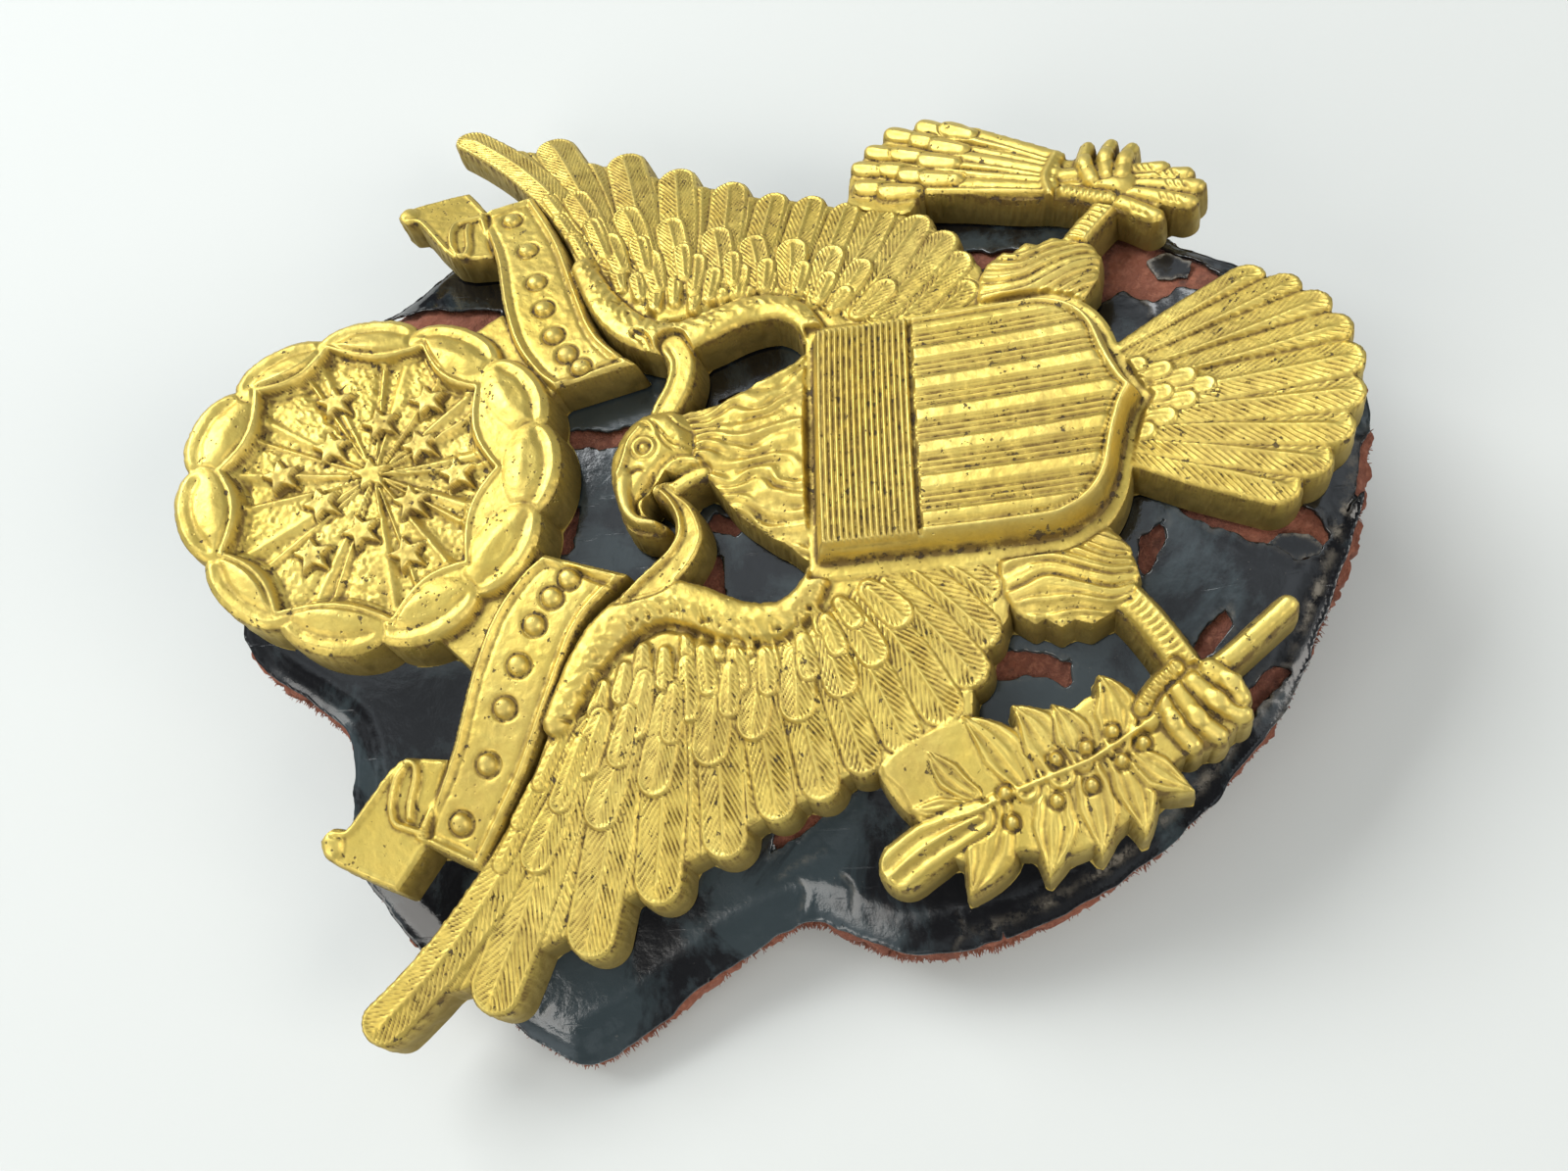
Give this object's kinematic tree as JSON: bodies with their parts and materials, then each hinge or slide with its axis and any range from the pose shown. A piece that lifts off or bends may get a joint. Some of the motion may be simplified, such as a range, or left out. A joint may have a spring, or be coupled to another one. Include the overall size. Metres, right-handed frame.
{
  "type": "cap badge",
  "caption": "Curved die-struck eagle cap badge with shield, ribbon and ring of cloud, backed by patent leather and held by a screw post and knurled thumb nut.",
  "frame": {"origin": "centre of the bounding box in plan, at the underside of the thumb nut", "axes": "+Z out of the face of the badge, +Y up the badge towards the ring of cloud, +X to the viewer's right"},
  "size_m": [0.0588, 0.061, 0.0161],
  "materials": {
    "gilt_brass": "struck and gilt, worn, dark in the recesses",
    "plain_brass": "dull, tarnished",
    "leather": "raw red-brown hide",
    "patent_coat": "glossy black lacquer, cracked"
  },
  "bodies": {
    "badge": {"eagle_plate": "gilt_brass", "leather_backing": "leather", "patent_coat": "patent_coat", "coat_flake_by_tail": "patent_coat", "coat_flake_by_arrows": "patent_coat", "screw_post": "plain_brass", "locating_pin_left": "plain_brass", "locating_pin_right": "plain_brass"},
    "washer": {"back_washer": "plain_brass"},
    "nut": {"thumb_nut": "plain_brass"}
  },
  "joints": [
    {"name": "washer_slide", "type": "slide", "parent": "badge", "child": "washer", "axis": [0, 0, -1], "range_m": [0, 0.0057]},
    {"name": "nut_turn", "type": "hinge", "parent": "washer", "child": "nut", "pos_m": [0.00033, -0.00105, 0.003], "axis": [0, 0, -1], "range_deg": [0, 2520]}
  ],
  "couplings": [
    {"joint": "washer_slide", "follows": "nut_turn", "m_per_rad": 0.00012732}
  ]
}
